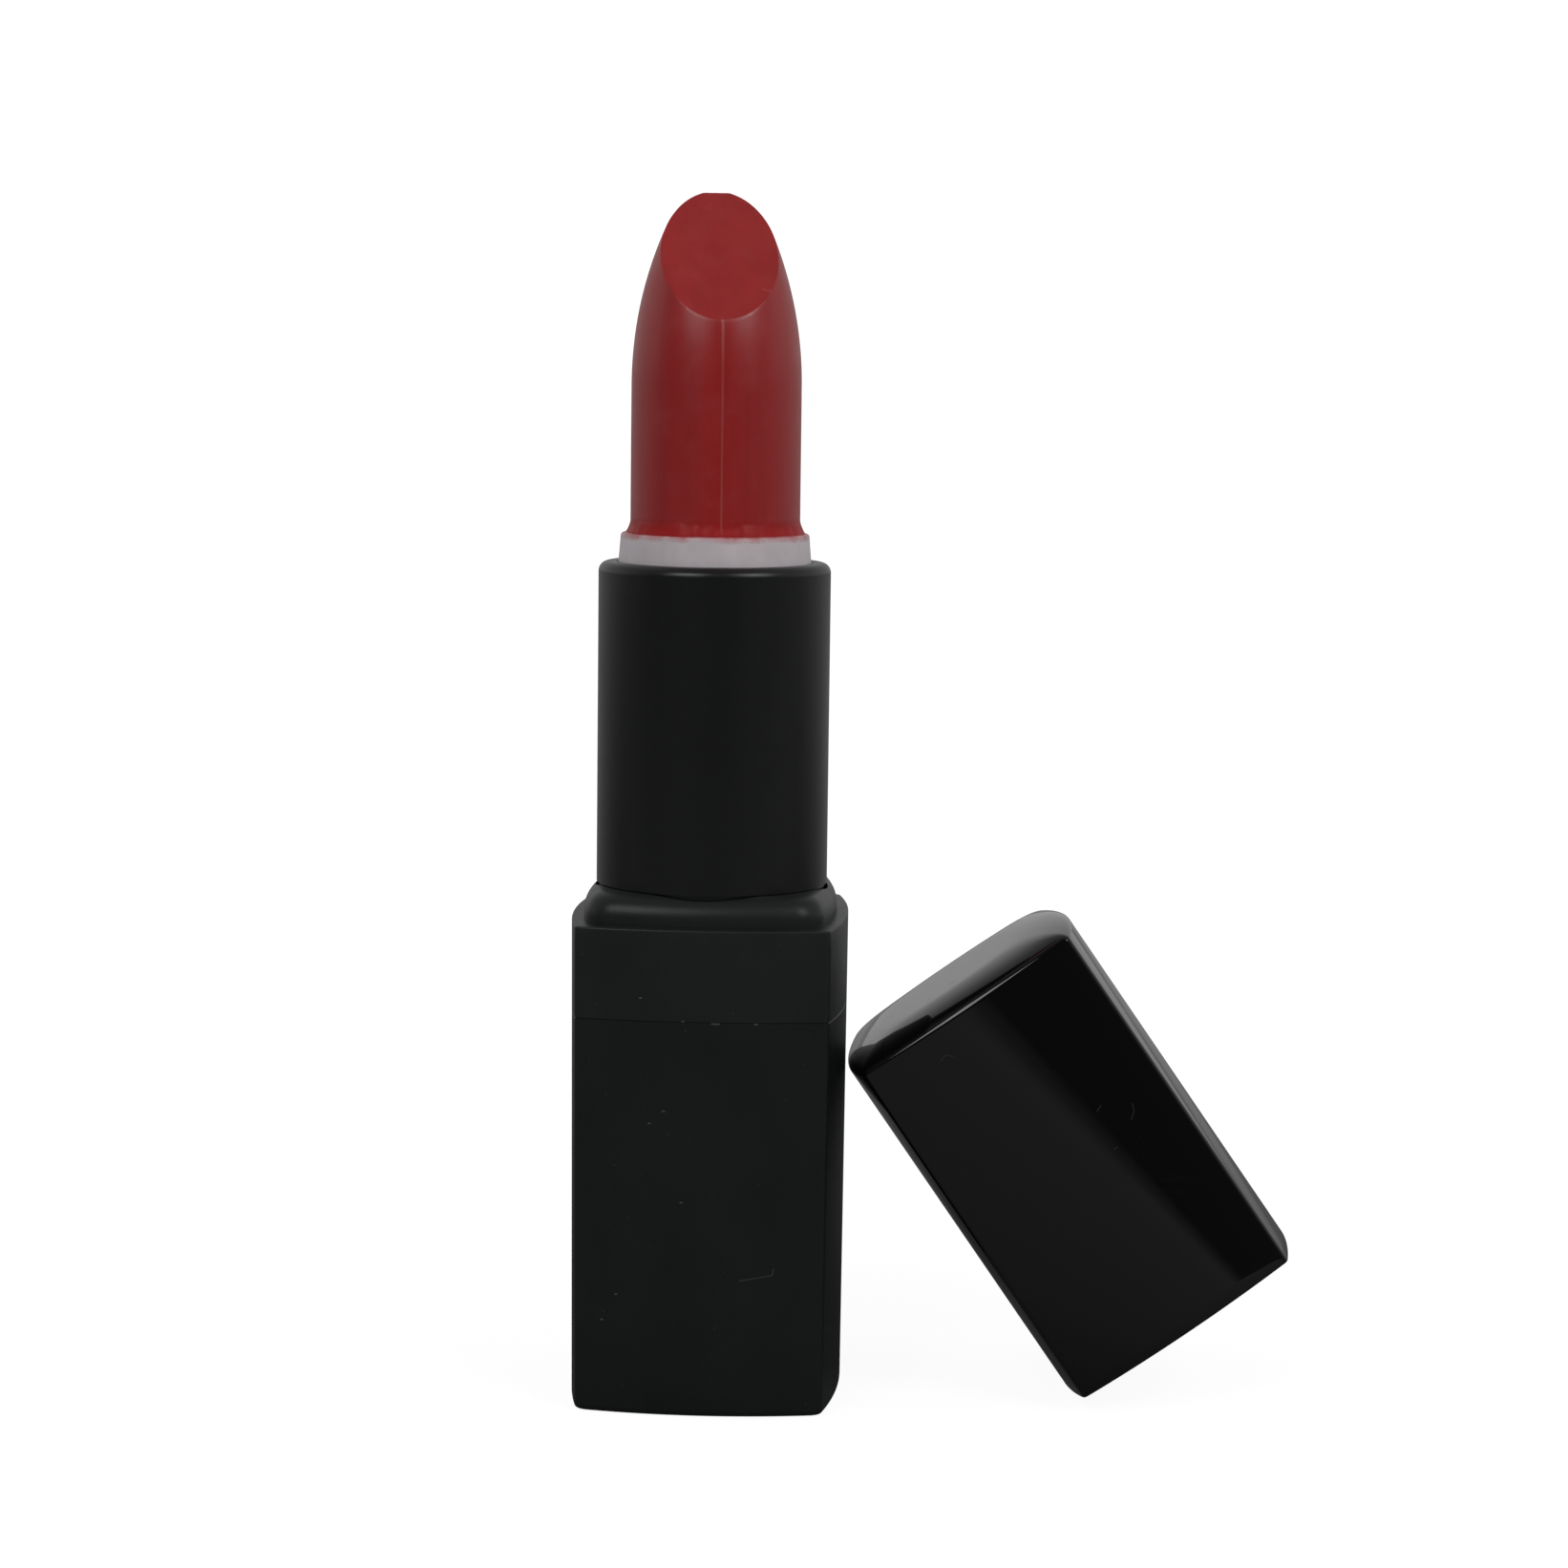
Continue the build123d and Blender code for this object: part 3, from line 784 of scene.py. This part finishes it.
def sky():
    """White behind the object, and a room that is brighter behind it than towards the camera."""
    world = bpy.data.worlds.new("studio")
    bpy.context.scene.world = world
    world.use_nodes = True
    tree = world.node_tree
    tree.nodes.clear()
    way = tree.nodes.new("ShaderNodeTexCoord")
    parts = tree.nodes.new("ShaderNodeSeparateXYZ")
    tree.links.new(way.outputs["Generated"], parts.inputs[0])
    from_above = [(-1, 0.3), (-0.1, 1.0), (0.3, 0.9), (0.7, 0.6), (1, 0.6)]
    upward = ramp(tree, parts.outputs["Z"], from_above, -1, 1)
    from_behind = [(-1, 0.05), (-0.5, 0.12), (0.1, 0.6), (0.6, 0.6), (1, 0.52)]
    backward = ramp(tree, parts.outputs["Y"], from_behind, -1, 1)
    both = tree.nodes.new("ShaderNodeVectorMath")
    both.operation = "MULTIPLY"
    tree.links.new(upward, both.inputs[0])
    tree.links.new(backward, both.inputs[1])
    room = tree.nodes.new("ShaderNodeBackground")
    tree.links.new(both.outputs[0], room.inputs[0])
    paper = tree.nodes.new("ShaderNodeBackground")
    paper.inputs[0].default_value = grey(1.0)
    paper.inputs[1].default_value = 1.1
    output = tree.nodes.new("ShaderNodeOutputWorld")
    tree.links.new(camera_only(tree, paper.outputs[0], room.outputs[0]), output.inputs[0])


def camera():
    """A long lens a little above the object, turned slightly to its right."""
    distance = 0.26748
    height = 0.07599
    azimuth = radians(4.08)
    pan = radians(1.098)
    pitch = radians(6.81)
    roll = radians(0.70)
    data = bpy.data.cameras.new("camera")
    data.sensor_width = 36
    data.lens = 85.99
    data.clip_start = 0.01
    made = bpy.data.objects.new("camera", data)
    bpy.context.scene.collection.objects.link(made)
    heading = azimuth - pan
    forward = Vector((-sin(heading) * cos(pitch), cos(heading) * cos(pitch), -sin(pitch)))
    across = Vector((cos(heading), sin(heading), 0))
    upright = across.cross(forward)
    right = across * cos(roll) + upright * sin(roll)
    top = upright * cos(roll) - across * sin(roll)
    turned = Matrix((right, top, -forward)).transposed().to_4x4()
    place = Vector((distance * sin(azimuth), -distance * cos(azimuth), height))
    made.matrix_world = Matrix.Translation(place) @ turned
    bpy.context.scene.camera = made


# ---- build everything ---------------------------------------------------------------------

hook = [(on_case(2.9, 9.95), on_case(5.2, 10.35)), (on_case(5.2, 10.35), on_case(5.3, 10.8))]
base_specks = flecks([(-2.6, 22.0), (-3.6, 21.1), (-1.3, 15.5), (-5.9, 8.7), (-6.9, 6.8)], 0.12)
base_specks += flecks([(0.8, SEAM_Z - 0.05), (1.1, SEAM_Z - 0.05), (3.8, SEAM_Z - 0.05)], 0.2)
collar_nick = flecks([(-1.3, SEAM_Z + 0.06), (-4.3, 30.0)], 0.15)
paint(base_shell(), satin_case("satin_case", 0.0095, hook, base_specks))
paint(collar(), satin_case("satin_collar", 0.0135, [], collar_nick))
paint(sleeve(), satin_sleeve("satin_sleeve"))
paint(bullet(), wax("red_wax"))
paint(cap_shell(), gloss_cap("gloss_cap"))

natural = moulded("natural_plastic", (0.72, 0.71, 0.66), 0.5)
for node_name in ("base_core", "slotted_tube", "spiral_tube"):
    paint(frame["nodes"][node_name], natural)
paint(frame["nodes"]["cup"], milky_plastic("milky_plastic"))
paint(frame["nodes"]["cap_liner"], moulded("black_liner", (0.016, 0.016, 0.017), 0.42))
paint(frame["nodes"]["friction_ring"], moulded("soft_rubber", (0.03, 0.03, 0.03), 0.7))
paint(frame["nodes"]["base_weight"], zinc_steel("zinc_steel"))
paint(frame["nodes"]["shade_label"], satin_film("satin_film"))

floor()
sky()
softbox("left_softbox", (-0.28, -0.57, 0.50), (0, 0, 0.05), 0.35, 0.35, 1.6)
softbox("right_softbox", (0.47, -0.42, 0.50), (0, 0, 0.05), 0.35, 0.35, 1.7)
camera()
bpy.context.scene.view_settings.view_transform = "Standard"
